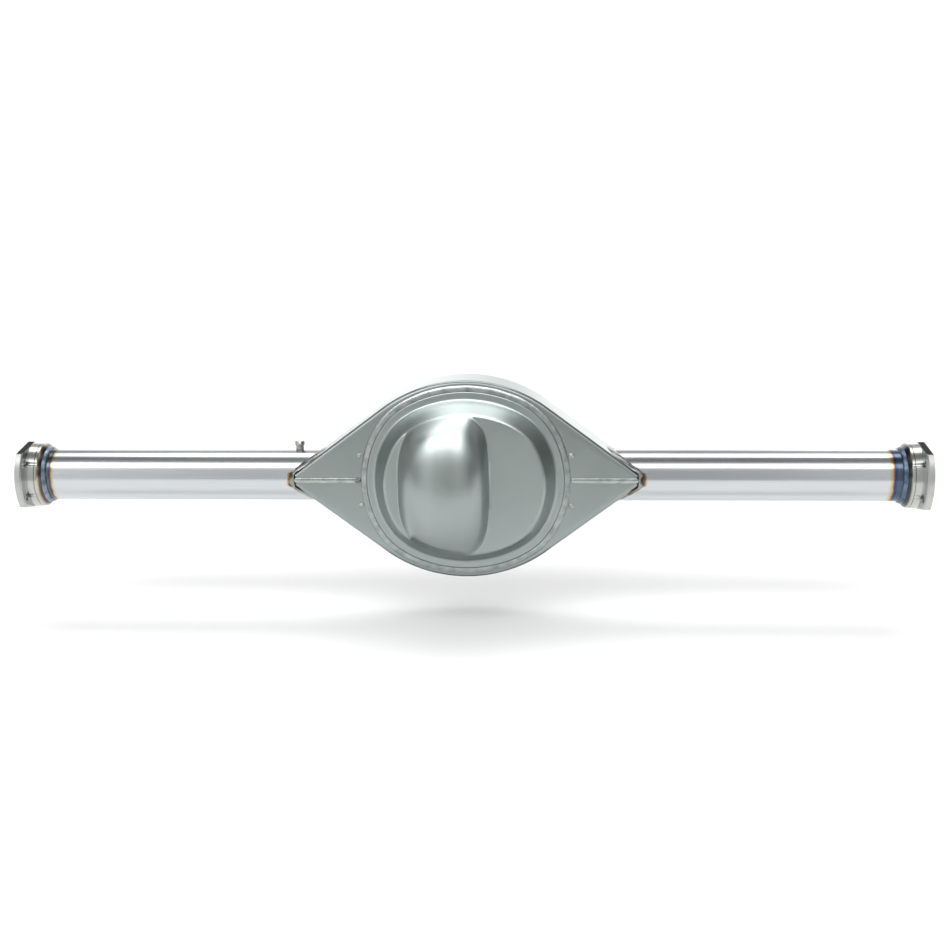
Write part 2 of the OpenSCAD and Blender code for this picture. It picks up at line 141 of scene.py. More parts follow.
class WeldSettings(PropertyGroup):
    """Weld beads"""

    pitch: length("Ripple", "Length of one ripple", 3.4)
    ripple: length("Ripple depth", "Depth of the ripples", 0.28)
    wander: length("Wander", "Wander of a bead's toes", 0.5)
    seed: IntProperty(name="Seed", description="Seed of the wander", default=4)
    shell_leg: length("Shell bead", "Leg of the bead between a wing and its tube", 6)
    tip_loss: length("Tip loss", "How much lower that bead is at the blunt tip", 1.2)
    taper: length("Taper", "Length over which a seam's bead dies away", 5)
    plug_d: length("Plug weld", "Diameter of a plug weld's cap", 9)
    plug_h: length("Plug weld height", "Height of a plug weld's cap", 1.6)
    drop_h: length("Weld drop", "Height of the drop at the left seam's inner end", 4)


class LookSettings(PropertyGroup):
    """Finish of the steel"""

    tube_dark: tone("Tube, dark", "Darker tone of the drawn tubes", "#c0c5c8")
    tube_light: tone("Tube, light", "Lighter tone of the drawn tubes", "#d2d5d6")
    sheet_dark: tone("Sheet, dark", "Darker tone of the pressed sheet", "#939c9a")
    sheet_light: tone("Sheet, light", "Lighter tone of the pressed sheet", "#a1a9a7")
    cover_dark: tone("Cover, dark", "Darker tone of the drawn cover", "#98a19f")
    cover_light: tone("Cover, light", "Lighter tone of the drawn cover", "#a6aeac")
    neck_dark: tone("Forging, dark", "Darker tone of the forged ends", "#aeb1ae")
    neck_light: tone("Forging, light", "Lighter tone of the forged ends", "#c6c8c4")
    tube_rough: share("Tube roughness", "Roughness of the drawn tubes", 0.20)
    sheet_rough: share("Sheet roughness", "Roughness of the pressed sheet", 0.30)
    cover_rough: share("Cover roughness", "Roughness of the drawn cover", 0.34)
    tint: share("Heat tint", "Strength of the heat tint", 0.92)


class StageSettings(PropertyGroup):
    """Camera and floor"""

    azimuth: angle("Azimuth", "Camera's swing to the right", 2.661)
    elevation: angle("Elevation", "Camera's height as an angle", 11.903)
    roll: angle("Roll", "Camera's roll", -0.455)
    distance: length("Distance", "Camera's distance from the point looked at", 1934.3)
    target_x: length("Target along the axle", "Point looked at, along the axle", 11.99)
    target_z: length("Target height", "Point looked at, above the axle line", -0.73)
    lens: FloatProperty(
        name="Lens", description="Focal length on a 36 mm sensor", default=49.5, unit="CAMERA"
    )
    floor_tone: tone("Floor colour", "Colour of the floor", "#f7f7f7")
    floor_drop: length("Floor drop", "Floor below the lower shell", 70)
    floor_front: length("Floor front", "Front edge of the floor, out of view", 1000)
    floor_size: length("Floor size", "Reach of the floor to the sides and back", 60000)
    card_tone: tone("Card colour", "Colour of the dark card", "#575857")
    card_drop: length("Card drop", "Dark card below the lower shell", 12)
    card_w: length("Card width", "Width of the dark card", 300)
    card_near: length("Card's rear edge", "Dark card's reach towards the camera", 40)
    card_far: length("Card's front edge", "Dark card's reach away from the camera", 70)


GROUPS = {
    "housing_cover": CoverSettings,
    "housing_shell": ShellSettings,
    "housing_stud": StudSettings,
    "housing_weld": WeldSettings,
    "housing_look": LookSettings,
    "housing_stage": StageSettings,
}


def settings(name):
    """One group's values, with its lengths in millimetres."""
    group = getattr(bpy.context.scene, "housing_" + name)
    values = {field: getattr(group, field) for field in type(group).__annotations__}
    for field in values:
        if group.bl_rna.properties[field].subtype == "DISTANCE":
            values[field] /= MM
    return SimpleNamespace(**values)


# Places and sizes read from the frame


def limits(node):
    """Lowest and highest corner of a frame node, in millimetres."""
    low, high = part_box(node)
    return np.array(low) / MM, np.array(high) / MM


class Housing:
    """Main sizes of the housing, in millimetres, from the frame's boxes and the shells' settings."""

    def __init__(self):
        shell = settings("shell")
        _, (self.tip, self.wall_out, self.crown) = limits("upper_shell")
        self.wall_in = self.wall_out - shell.wall
        self.arc_z = self.crown - shell.arc_r
        self.slope = shell.slope
        self.run = 1 / math.tan(shell.slope)
        self.apex = shell.arc_r * math.sin(shell.slope)
        self.apex += (self.arc_z + shell.arc_r * math.cos(shell.slope)) * self.run
        self.tubes = {side: limits(side + "_tube") for side in ("left", "right")}
        self.tube_r = self.tubes["right"][1][2]
        low, high = limits("rear_cover")
        self.reach, self.flange_r = -low[1], high[0]
        self.flange_arc = shell.arc_r - shell.cover_edge
        self.cover_weld = limits("rear_cover_weld")[1][0] - self.flange_r
        _, (self.ring_r, self.ring_face, _) = limits("carrier_ring")
        self.ring_weld = limits("carrier_ring_weld")[1][0] - self.ring_r
        low, high = limits("left_end_weld")
        self.end_weld = high[0] - low[0]
        self.end_weld_r = high[2]


# Colours and materials


def linear(hex_colour):
    """An sRGB hex colour as linear RGBA."""
    parts = [int(hex_colour[i : i + 2], 16) / 255 for i in (1, 3, 5)]
    rgb = [c / 12.92 if c <= 0.04045 else ((c + 0.055) / 1.055) ** 2.4 for c in parts]
    return (*rgb, 1.0)


MATH = "ShaderNodeMath"
MIX = "ShaderNodeMix"
RAMP = "ShaderNodeValToRGB"
RANGE = "ShaderNodeMapRange"
SPLIT = "ShaderNodeSeparateXYZ"
VECTOR = "ShaderNodeVectorMath"
WHITE = (1.0, 1.0, 1.0, 1.0)


def add(tree, kind, inputs=None, stops=(), blend="LINEAR", **own):
    """Adds a node with its own settings, its inputs as values or links, and a ramp's stops."""
    node = tree.nodes.new(kind)
    for key, value in own.items():
        setattr(node, key, value)
    for key, value in (inputs or {}).items():
        if isinstance(value, NodeSocket):
            tree.links.new(value, node.inputs[key])
        else:
            node.inputs[key].default_value = value
    if stops:
        node.color_ramp.interpolation = blend
        elements = node.color_ramp.elements
        while len(elements) < len(stops):
            elements.new(1.0)
        for element, (place, colour) in zip(elements, stops):
            element.position, element.color = place, colour
    return node.outputs


def new_material(name):
    """An empty material with its tree, and Object coordinates in millimetres, whole and split."""
    material = bpy.data.materials.new(name)
    material.use_nodes = True
    tree = material.node_tree
    tree.nodes.clear()
    coords = add(tree, "ShaderNodeTexCoord")["Object"]
    place = add(tree, VECTOR, {0: coords, "Scale": 1 / MM}, operation="SCALE")[0]
    return material, tree, place, add(tree, SPLIT, {0: place})


def grains(tree, place, size, detail=3.0, stretch=(1, 1, 1)):
    """A cloudy pattern whose grains are about size millimetres, stretched along an axis if asked."""
    scale = tuple(1 / (size * s) for s in stretch)
    scaled = add(tree, VECTOR, {0: place, 1: scale}, operation="MULTIPLY")[0]
    return add(tree, "ShaderNodeTexNoise", {"Vector": scaled, "Scale": 1.0, "Detail": detail})[0]


def finish_steel(tree, colour, rough, grain, height, edge=0.0, metal=1.0):
    """Bare steel: a metal with the given roughness, a fine raised grain and softened edges."""
    bump = {"Height": grain, "Distance": height * MM, "Strength": 1.0}
    if edge:
        bump["Normal"] = add(tree, "ShaderNodeBevel", {"Radius": edge * MM})[0]
    normal = add(tree, "ShaderNodeBump", bump)[0]
    wires = {"Base Color": colour, "Roughness": rough, "Normal": normal, "Metallic": metal}
    steel = add(tree, "ShaderNodeBsdfPrincipled", wires)[0]
    add(tree, "ShaderNodeOutputMaterial", {"Surface": steel})


def around(value, spread):
    """Inputs that spread a pattern from 0 to 1 about a value."""
    return {3: value - spread, 4: value + spread}


# Sizes of the patterns in the finishes, in millimetres. Lines, grain and marks are drawn coarser than on
# real steel, so that they show from near by. In the main view they are still about a pixel or less, and
# only break up the gloss
DRAW_LINE = 1.2
SMEAR = 40.0
TINT_CLOUD = 14.0
SHEET_CLOUD = 55.0
SHEET_GRAIN = 0.8
COVER_GRAIN = 1.1
NECK_CLOUD = 16.0
# Size of the streaks in the near-black painted shade on the flanges' upper and lower faces
PAINTED_SHADE_STREAK = 1.4
TOOL_MARK = 0.8
PLAIN_CLOUD = 18.0
PLAIN_MARK = 0.7
BEAD_PATCH = 11.0
BEAD_GRAIN = 0.9
# Depths of those that are raised, and how far the ends' and turned pieces' edges are eased
DRAW_DEPTH = 0.012
SHEET_DEPTH = 0.014
TOOL_DEPTH = 0.02
PLAIN_DEPTH = 0.015
BEAD_DEPTH = 0.05
NECK_EDGE = 0.8
PLAIN_EDGE = 0.5
# How far roughness strays from its value on the tubes, and on the rest
TUBE_SPREAD = 0.04
ROUGH_SPREAD = 0.05

# Colours that a tube runs through beside its end weld, from the weld's toe to the cold steel
TUBE_HEAT = {
    "left": [
        (0.00, "#54432f"),
        (0.10, "#6a5636"),
        (0.20, "#5f7f88"),
        (0.33, "#3f6490"),
        (0.44, "#142c74"),
        (0.50, "#6b3f2c"),
        (0.54, "#c8741a"),
        (0.60, "#d9973a"),
        (0.66, "#e8c886"),
        (0.76, "#f0e4c4"),
        (1.00, "#ffffff"),
    ],
    "right": [
        (0.00, "#465669"),
        (0.32, "#4f667e"),
        (0.45, "#2b4a86"),
        (0.55, "#11266c"),
        (0.59, "#5a3038"),
        (0.63, "#c06a18"),
        (0.68, "#d9973a"),
        (0.72, "#e8c886"),
        (0.80, "#f0e4c4"),
        (1.00, "#ffffff"),
    ],
}
# The same beside a wing's tip, where the steel only browned
TIP_HEAT = [(0.00, "#4a3826"), (0.30, "#85602f"), (0.60, "#d8ab66"), (1.00, "#ffffff")]
# The same for a forged neck: its shoulder, then a bright ring
NECK_HEAT = {
    "left": [(0.00, "#744718"), (0.22, "#8f6029"), (0.33, "#dccfb6"), (0.45, "#ffffff")],
    "right": [(0.00, "#20272f"), (0.22, "#4b525a"), (0.30, "#262b30"), (0.42, "#b9bcbc"), (0.55, "#ffffff")],
}
# A thin dark line that ends the bright ring
NECK_LINE = [(0.76, "#ffffff"), (0.80, "#6f5833"), (0.86, "#cdbd97"), (0.92, "#ffffff")]
# How far from a weld the tint runs, in millimetres: at the ends, at the wings' tips, and on a neck
END_TINT = {"left": 12.0, "right": 20.0}
TIP_TINT = 6.0
NECK_TINT = 11.0
# Height beside a wing's tip up to which its tint is full, and how fast it then narrows
TIP_HALF = 9.0
TIP_FALL = 0.7
# How far the edge of the tint wanders
TINT_WANDER = 3.0


def colours(table):
    """A ramp's stops from a table of places and hex colours."""
    return [(place, linear(colour)) for place, colour in table]


def tube_material(side, housing):
    """Cold drawn steel tube: smooth and bright, so it mirrors the room in long bands.

    Fine lines run lengthwise, and heat colours lie beside the welds at both ends.
    """
    look, weld = settings("look"), settings("weld")
    material, tree, place, (x, _, z) = new_material(f"Drawn tube steel, heat tinted, {side}")
    low, high = housing.tubes[side]
    toe = max(-low[0], high[0]) - housing.end_weld
    along = add(tree, MATH, {0: x}, operation="ABSOLUTE")[0]
    off = add(tree, MATH, {0: z}, operation="ABSOLUTE")[0]
    wander = add(tree, RANGE, {0: grains(tree, place, TINT_CLOUD), 3: -TINT_WANDER, 4: TINT_WANDER})[0]
    along = add(tree, MATH, {0: along, 1: wander}, operation="ADD")[0]
    outer = add(tree, RANGE, {0: along, 1: toe, 2: toe - END_TINT[side]})[0]
    strip = add(tree, MATH, {0: off, 1: -housing.run, 2: housing.apex}, operation="MULTIPLY_ADD")[0]
    edge = add(tree, MATH, {0: strip, 1: housing.tip}, operation="MINIMUM")[0]
    gap = add(tree, MATH, {0: along, 1: edge}, operation="SUBTRACT")[0]
    past = add(tree, MATH, {0: off, 1: TIP_HALF}, operation="SUBTRACT")[0]
    past = add(tree, MATH, {0: past, 1: 0.0}, operation="MAXIMUM")[0]
    gap = add(tree, MATH, {0: past, 1: TIP_FALL, 2: gap}, operation="MULTIPLY_ADD")[0]
    inner = add(tree, RANGE, {0: gap, 1: weld.shell_leg, 2: weld.shell_leg + TIP_TINT})[0]
    brown = add(tree, RAMP, {0: inner}, colours(TIP_HEAT))[0]
    heat = add(tree, RAMP, {0: outer}, colours(TUBE_HEAT[side]))[0]
    heat = {0: 1.0, 6: heat, 7: brown}
    heat = add(tree, MIX, heat, data_type="RGBA", blend_type="MULTIPLY")[2]
    lines = grains(tree, place, DRAW_LINE, detail=2.0, stretch=(60, 1, 1))
    smear = grains(tree, place, SMEAR, stretch=(3, 1, 1))
    bare = {0: lines, 6: linear(look.tube_dark), 7: linear(look.tube_light)}
    bare = add(tree, MIX, bare, data_type="RGBA")[2]
    colour = add(tree, MIX, {0: look.tint, 6: bare, 7: heat}, data_type="RGBA", blend_type="MULTIPLY")[2]
    rough = add(tree, RANGE, {0: smear, **around(look.tube_rough, TUBE_SPREAD)})[0]
    finish_steel(tree, colour, rough, lines, DRAW_DEPTH)
    return material


def sheet_material(name, dark, light, rough, grain):
    """Pressed sheet steel: even satin grey, soft in its highlights, with a fine cloudy grain."""
    material, tree, place, _ = new_material(name)
    cloud = grains(tree, place, SHEET_CLOUD, detail=4.0)
    bare = {0: cloud, 6: linear(dark), 7: linear(light)}
    colour = add(tree, MIX, bare, data_type="RGBA")[2]
    spread = add(tree, RANGE, {0: cloud, **around(rough, ROUGH_SPREAD)})[0]
    finish_steel(tree, colour, spread, grains(tree, place, grain, detail=2.0), SHEET_DEPTH)
    return material


# Thickness of an end flange, how level a face of it has to be to take the painted shade, and the two
# near-black tones of that painted shade, which stands in for the dark that the flange's upward and downward
# faces show
FLANGE_THICK = 9.5
SHADED_FACE_LEVEL = 0.9
PAINTED_SHADE_TONES = ("#060605", "#1c1c1a")
# Roughness of a neck, of a flange and of the painted shade on the flange's upper and lower faces
NECK_ROUGH = 0.22
FLANGE_ROUGH = 0.40
PAINTED_SHADE_ROUGH = 0.75


def forged_material(side, housing):
    """Machined steel forging: a bright turned neck, brown by its weld, on a duller flange.

    The flange's faces that point up or down are painted near black and made non-metallic: painted shade for
    the dark they show.
    """
    look = settings("look")
    material, tree, place, (x, _, _) = new_material(f"Machined steel forging, {side}")
    low, high = limits(f"{side}_bearing_end")
    weld_x, face_x = sorted((abs(low[0]), abs(high[0])))
    flange_x = face_x - FLANGE_THICK
    along = add(tree, MATH, {0: x}, operation="ABSOLUTE")[0]
    near = add(tree, RANGE, {0: along, 1: weld_x, 2: weld_x + NECK_TINT})[0]
    heat = add(tree, RAMP, {0: near}, colours(NECK_HEAT[side] + NECK_LINE))[0]
    cloud = grains(tree, place, NECK_CLOUD)
    bare = {0: cloud, 6: linear(look.neck_dark), 7: linear(look.neck_light)}
    bare = add(tree, MIX, bare, data_type="RGBA")[2]
    colour = add(tree, MIX, {0: look.tint, 6: bare, 7: heat}, data_type="RGBA", blend_type="MULTIPLY")[2]
    flange = add(tree, MATH, {0: along, 1: flange_x}, operation="GREATER_THAN")[0]
    # Painted shade: flange faces that point up or down get a near-black, non-metallic colour so that they
    # show dark; the mask called scale below is this painted shade
    facing = add(tree, SPLIT, {0: add(tree, "ShaderNodeNewGeometry")["Normal"]})[2]
    facing = add(tree, MATH, {0: facing}, operation="ABSOLUTE")[0]
    faces_up_or_down = add(tree, MATH, {0: facing, 1: SHADED_FACE_LEVEL}, operation="GREATER_THAN")[0]
    scale = add(tree, MATH, {0: faces_up_or_down, 1: flange}, operation="MULTIPLY")[0]
    shade_streaks = grains(tree, place, PAINTED_SHADE_STREAK, detail=2.0, stretch=(1, 10, 1))
    black = {0: shade_streaks, 6: linear(PAINTED_SHADE_TONES[0]), 7: linear(PAINTED_SHADE_TONES[1])}
    black = add(tree, MIX, black, data_type="RGBA")[2]
    colour = add(tree, MIX, {0: scale, 6: colour, 7: black}, data_type="RGBA")[2]
    rough = add(tree, RANGE, {0: flange, 3: NECK_ROUGH, 4: FLANGE_ROUGH})[0]
    rough = add(tree, MIX, {0: scale, 2: rough, 3: PAINTED_SHADE_ROUGH}, data_type="FLOAT")[0]
    metal = add(tree, MATH, {0: 1.0, 1: scale}, operation="SUBTRACT")[0]
    marks = grains(tree, place, TOOL_MARK, detail=2.0, stretch=(1, 6, 6))
    finish_steel(tree, colour, rough, marks, TOOL_DEPTH, NECK_EDGE, metal)
    return material


# Darker and lighter tone and roughness of the turned carrier ring, and of the plated vent and studs
TURNED = ("#b1b3b3", "#c2c4c4", 0.30)
PLATED = ("#8a8c85", "#c4c5c0", 0.26)


def plain_material(name, dark, light, rough):
    """Turned or plated steel: bright, with faint tool marks and softened edges."""
    material, tree, place, _ = new_material(name)
    cloud = grains(tree, place, PLAIN_CLOUD)
    bare = {0: cloud, 6: linear(dark), 7: linear(light)}
    colour = add(tree, MIX, bare, data_type="RGBA")[2]
    spread = add(tree, RANGE, {0: cloud, **around(rough, ROUGH_SPREAD)})[0]
    marks = grains(tree, place, PLAIN_MARK, detail=1.0, stretch=(1, 8, 8))
    finish_steel(tree, colour, spread, marks, PLAIN_DEPTH, PLAIN_EDGE)
    return material


# Tones of a brushed bead, of one brushed bright, of one left as it cooled, and of those that blued
BEAD_TONES = {
    "brushed bright": [(0.30, "#9aa2a0"), (0.50, "#aab1ae"), (0.70, "#bcc1bd")],
    "wire brushed": [(0.30, "#8b9392"), (0.50, "#9fa6a4"), (0.70, "#b0b5b2")],
    "as it cooled": [(0.32, "#80868a"), (0.46, "#a4a8a6"), (0.58, "#8c8072"), (0.70, "#665a4c")],
    "blued, left": [(0.30, "#596c84"), (0.48, "#7c8c9e"), (0.66, "#9aa6b0"), (0.80, "#64778f")],
    "blued, right": [(0.30, "#3f4d60"), (0.48, "#5d6e84"), (0.66, "#74859a"), (0.80, "#48586d")],
}
# Roughness of the same beads
BEAD_ROUGH = {
    "brushed bright": 0.20,
    "wire brushed": 0.32,
    "as it cooled": 0.30,
    "blued, left": 0.30,
    "blued, right": 0.30,
}


def weld_material(state):
    """Weld metal: rippled, patchy in tone, and bright on the crests of its ripples."""
    material, tree, place, _ = new_material(f"Weld metal, {state}")
    patch = grains(tree, place, BEAD_PATCH, detail=2.0)
    colour = add(tree, RAMP, {0: patch}, colours(BEAD_TONES[state]))[0]
    rough = add(tree, RANGE, {0: patch, **around(BEAD_ROUGH[state], ROUGH_SPREAD)})[0]
    finish_steel(tree, colour, rough, grains(tree, place, BEAD_GRAIN, detail=2.0), BEAD_DEPTH)
    return material


# Surfaces

# Points closer than this are one point, in millimetres
SAME_POINT = 0.002
# Edges that turn more than this stay sharp, on most pieces and on the drawn cover with its tight creases
SHARP_EDGE = math.radians(38)
DRAWN_EDGE = math.radians(80)


def surface(name, grids, material, replaces, sharp=SHARP_EDGE):
    """One closed mesh from grids of points in millimetres.

    Each grid is (points, wrap): points of shape (rows, columns, 3), and wrap a pair that says whether
    its rows and its columns close on themselves. Neighbouring points join into quads, grids join where
    their edges have the same points, and faces are turned outwards.
    """
    verts, faces, start = [], [], 0
    for points, (wrap_rows, wrap_cols) in grids:
        rows, cols = points.shape[:2]
        index = np.arange(rows * cols).reshape(rows, cols) + start
        if wrap_rows:
            index = np.vstack([index, index[:1]])
        if wrap_cols:
            index = np.hstack([index, index[:, :1]])
        quads = [index[:-1, :-1], index[1:, :-1], index[1:, 1:], index[:-1, 1:]]
        faces.append(np.stack(quads, -1).reshape(-1, 4))
        verts.append(points.reshape(-1, 3))
        start += rows * cols
    mesh = bpy.data.meshes.new(name)
    mesh.from_pydata((np.vstack(verts) * MM).tolist(), [], np.vstack(faces).tolist())
    shape = bmesh.new()
    shape.from_mesh(mesh)
    bmesh.ops.remove_doubles(shape, verts=shape.verts, dist=SAME_POINT * MM)
    bmesh.ops.recalc_face_normals(shape, faces=shape.faces)
    shape.to_mesh(mesh)
    shape.free()
    mesh.validate()
    mesh.shade_smooth()
    mesh.set_sharp_from_angle(angle=sharp)
    mesh.materials.append(material)
    piece = bpy.data.objects.new(name, mesh)
    bpy.context.scene.collection.objects.link(piece)
    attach(piece, BODY)
    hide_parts(*replaces)
    return piece


def full_turn(steps):
    """Angles of one turn, without its end."""
    return np.linspace(0, 2 * math.pi, steps, endpoint=False)


def soft_min(values, softness):
    """A rounded minimum: low - k log(sum(exp((low - v) / k)))."""
    values = np.stack(values)
    low = values.min(0)
    return low - softness * np.log(np.exp((low - values) / softness).sum(0))


def soft_max(a, b, softness):
    """A rounded maximum of two heights, which fillets the crease between them over the softness."""
    gap = np.clip(0.5 + 0.5 * (a - b) / softness, 0, 1)
    return b + (a - b) * gap + softness * gap * (1 - gap)


def arc(centre, r, start, end, steps):
    """Points of a flat arc between two angles."""
    turn = np.linspace(start, end, steps)
    return np.stack([centre[0] + r * np.cos(turn), centre[1] + r * np.sin(turn)], -1)


# Halvings that find the outline's radius
HALVINGS = 50


class Outline:
    """The rear cover's outline: a circle trimmed by two arcs that follow the shell's crowns.

    inside(x, z) is the distance in from the outline, the least of the distances to the three circles,
    with its corners softened; radius(turn) is its polar form, found by bisection.
    """

    def __init__(self, housing, cover, inset):
        self.side, self.crown = housing.flange_r - inset, housing.flange_arc - inset
        self.centre, self.softness = housing.arc_z, cover.corner

    def inside(self, x, z):
        values = [
            self.side - np.hypot(x, z),
            self.crown - np.hypot(x, z - self.centre),
            self.crown - np.hypot(x, z + self.centre),
        ]
        return soft_min(values, self.softness)

    def radius(self, turn):
        low, high = np.zeros_like(turn), np.full_like(turn, 2 * self.side)
        for _ in range(HALVINGS):
            middle = (low + high) / 2
            out = self.inside(middle * np.cos(turn), middle * np.sin(turn)) < 0
            low, high = np.where(out, low, middle), np.where(out, middle, high)
        return low


# Blend between the bulge's two rings, and how steeply the bulge ends beside them
RING_BLEND = 4.0
RING_FALL = 6.0
# Length in mm over which the crease grows to its full width, from the wall's foot inward
CREASE_RUN = 14.0
# Points in each bend of the pan's section, and how far in mm past the upper one the belt of rows goes
BEND_POINTS = 12
BELT_PAST = 1
# Points along a side of the cover's square grid, and rows in the belt round it, outside and inside
COVER_POINTS = 145
OUTER_ROWS = 46
INNER_ROWS = 16


def pan_profile(cover):
    """Half section of the pan's side as (distance in, height): foot bend, straight side, shoulder bend."""
    run = cover.bend * math.tan(math.pi / 4 - cover.draft / 2)
    foot = arc((-run, cover.bend), cover.bend, 1.5 * math.pi, 2 * math.pi - cover.draft, BEND_POINTS)
    top = cover.depth * math.tan(cover.draft) + run
    centre = (top, cover.depth - cover.bend)
    shoulder = arc(centre, cover.bend, math.pi - cover.draft, math.pi / 2, BEND_POINTS)
    return np.vstack([foot, shoulder])


def cover_height(x, z, housing, cover):
    """Height of the cover's outer face over its flange.

    The pan's side is a line of slope 1 / tan(draft) in the distance from its outline, rounded at its
    foot and shoulder. The bulge is what two rings swept about the axle line reach: a ring of reach R and
    cross radius r lies at rho = R - r + sqrt(r^2 - (x - x0)^2) from that line, so its face is at
    sqrt(rho^2 - z^2). The bulge is cut by the pan's side carried on, and set on the floor with a crease,
    which runs out where the bulge meets the pan's wall.
    """
    inside = Outline(housing, cover, cover.lip).inside(x, z)
    profile = pan_profile(cover)
    floor = np.interp(inside, profile[:, 0], profile[:, 1])
    rings = []
    for x0, r in ((cover.bulge_x, cover.bulge_r), (cover.bulge_x + cover.shift, cover.right_r)):
        across = np.clip(r * r - (x - x0) ** 2, 0, None)
        past = np.clip(np.abs(x - x0) - r, 0, None)
        rho = np.clip(housing.reach - r + np.sqrt(across) - RING_FALL * past, 0, None)
        rings.append(np.sqrt(np.clip(rho * rho - z * z, 0, None)))
    bulge = soft_max(rings[0], rings[1], RING_BLEND) - housing.wall_out - cover.wall
    bulge = soft_min([bulge, inside / math.tan(cover.draft)], cover.crown)
    on_floor = np.clip((inside - profile[-1, 0]) / CREASE_RUN, 0, 1)
    return soft_max(floor, bulge, cover.corner + (cover.crease - cover.corner) * on_floor)


def disc_grid(outline, count):
    """X and Z of a square grid bent onto an outline without a pole.

    A point (u, v) of the square lies at share max(|u|, |v|) of the outline's radius, at the angle
    45 v / u degrees where |u| is the larger, and 90 - 45 u / v where |v| is.
    """
    line = np.linspace(-1, 1, count)
    u, v = np.meshgrid(line, line)
    by_u = np.abs(u) > np.abs(v)
    size = np.where(by_u, u, v)
    turn = math.pi / 4 * np.where(by_u, v, u) / np.where(size == 0, 1.0, size)
    turn = np.where(by_u, turn, math.pi / 2 - turn)
    turn = np.where(size < 0, turn + math.pi, turn)
    radius = np.abs(size) * outline.radius(turn)
    return radius * np.cos(turn), radius * np.sin(turn)


def rim_grid(housing, cover, reach, rows, columns):
    """X and Z of rows that follow the flange's outline, from its edge to a distance in from it."""
    turn = full_turn(columns)
    radius = np.stack([Outline(housing, cover, d).radius(turn) for d in np.linspace(0, reach, rows)])
    return radius * np.cos(turn), radius * np.sin(turn)


def cover_grids(housing, cover):
    """The cover's outer face, its inner face one sheet in along the normals, and its edge.

    Each face is a belt of rows along the flange's outline, out to the pan's floor, and a bent square
    grid inside it. The flange's edge is rounded by an arc.
    """
    columns = 4 * (COVER_POINTS - 1)
    reach = cover.lip + pan_profile(cover)[-1, 0] + BELT_PAST
    middle = disc_grid(Outline(housing, cover, reach), COVER_POINTS)
    edge = Outline(housing, cover, 0)
    level = housing.wall_out + cover.wall

    def outer(x, z):
        near = np.clip(cover.edge - edge.inside(x, z), 0, cover.edge)
        drop = cover.edge - np.sqrt(cover.edge**2 - near**2)
        return np.stack([x, drop - level - cover_height(x, z, housing, cover), z], -1)

    def inner(x, z, step=0.2):
        rise_x = cover_height(x + step, z, housing, cover) - cover_height(x - step, z, housing, cover)
        rise_z = cover_height(x, z + step, housing, cover) - cover_height(x, z - step, housing, cover)
        normal = np.stack([-rise_x, np.full_like(x, -2 * step), -rise_z], -1)
        normal /= np.linalg.norm(normal, axis=-1, keepdims=True)
        face = np.stack([x, -level - cover_height(x, z, housing, cover), z], -1)
        return face - cover.wall * normal

    faces = []
    for form, rows in ((outer, OUTER_ROWS), (inner, INNER_ROWS)):
        belt = form(*rim_grid(housing, cover, reach, rows, columns))
        faces += [(belt, (False, True)), (form(*middle), (False, False))]
    side = np.stack([faces[0][0][0], faces[2][0][0]])
    return [*faces, (side, (False, True))]


# Points along half the crown and along a wing, and points up a shell's wall, round its bend and over its top
CROWN_POINTS = 40
WING_POINTS = 60
WALL_POINTS = 8
ROUND_POINTS = 10
TOP_POINTS = 7


def shell_path(housing, shell, inset):
    """The upper shell's outline from its right tip over the crown to its left tip, with its normals.

    A wing is a line of the given slope, the crown an arc about (0, arc_z) that it touches.
    """
    r = shell.arc_r - inset
    turn = np.linspace(housing.slope, 0, CROWN_POINTS)
    crown = np.stack([r * np.sin(turn), housing.arc_z + r * np.cos(turn)], -1)
    crown_n = np.stack([np.sin(turn), np.cos(turn)], -1)
    x = np.linspace(housing.tip, crown[0, 0], WING_POINTS, endpoint=False)
    lift = inset / math.sin(housing.slope)
    wing = np.stack([x, (housing.apex - lift - x) / housing.run], -1)
    wing_n = np.broadcast_to([math.sin(housing.slope), math.cos(housing.slope)], wing.shape)
    half, half_n = np.vstack([wing, crown]), np.vstack([wing_n, crown_n])
    other, other_n = half[-2::-1] * [-1, 1], half_n[-2::-1] * [-1, 1]
    return np.vstack([half, other]), np.vstack([half_n, other_n])


# Half width in mm of the tube's cut on the outer skin where only the inner skin still meets the tube: it
# keeps the front and rear halves of the cut from sharing an edge
SLIT = 0.02


def shell_skin(housing, shell, inset, opening, facing):
    """One skin of the upper shell on one side, as rows along its outline.

    Each row starts at height 0, or at the opening's edge, goes up the flat wall to the bend's start,
    round the bend, and along the crown to the middle, or to the tube where the wing meets it.
    """
    depth, bend = housing.wall_out - inset, shell.bend - inset
    path, normal = shell_path(housing, shell, inset)
    start = path - bend * normal
    gap = np.clip(opening**2 - start[:, 0] ** 2, 0, None)
    low = np.minimum(np.sqrt(gap), start[:, 1])
    columns = []
    for part in np.linspace(0, 1, WALL_POINTS):
        z = low + (start[:, 1] - low) * part
        columns.append(np.stack([start[:, 0], np.full(len(z), depth), z], -1))
    tube = np.sqrt(np.clip(housing.tube_r**2 - path[:, 1] ** 2, 0, None))
    for turn in np.linspace(0, math.pi / 2, ROUND_POINTS)[1:]:
        at = start + bend * math.sin(turn) * normal
        y = np.maximum(depth - bend + bend * math.cos(turn), tube)
        columns.append(np.stack([at[:, 0], y, at[:, 1]], -1))
    edge = columns[-1][:, 1]
    for part in np.linspace(0, 1, TOP_POINTS)[1:]:
        y = edge + (np.minimum(tube, edge) - edge) * part
        columns.append(np.stack([path[:, 0], y, path[:, 1]], -1))
    return np.stack(columns, 1) * [1, facing, 1]


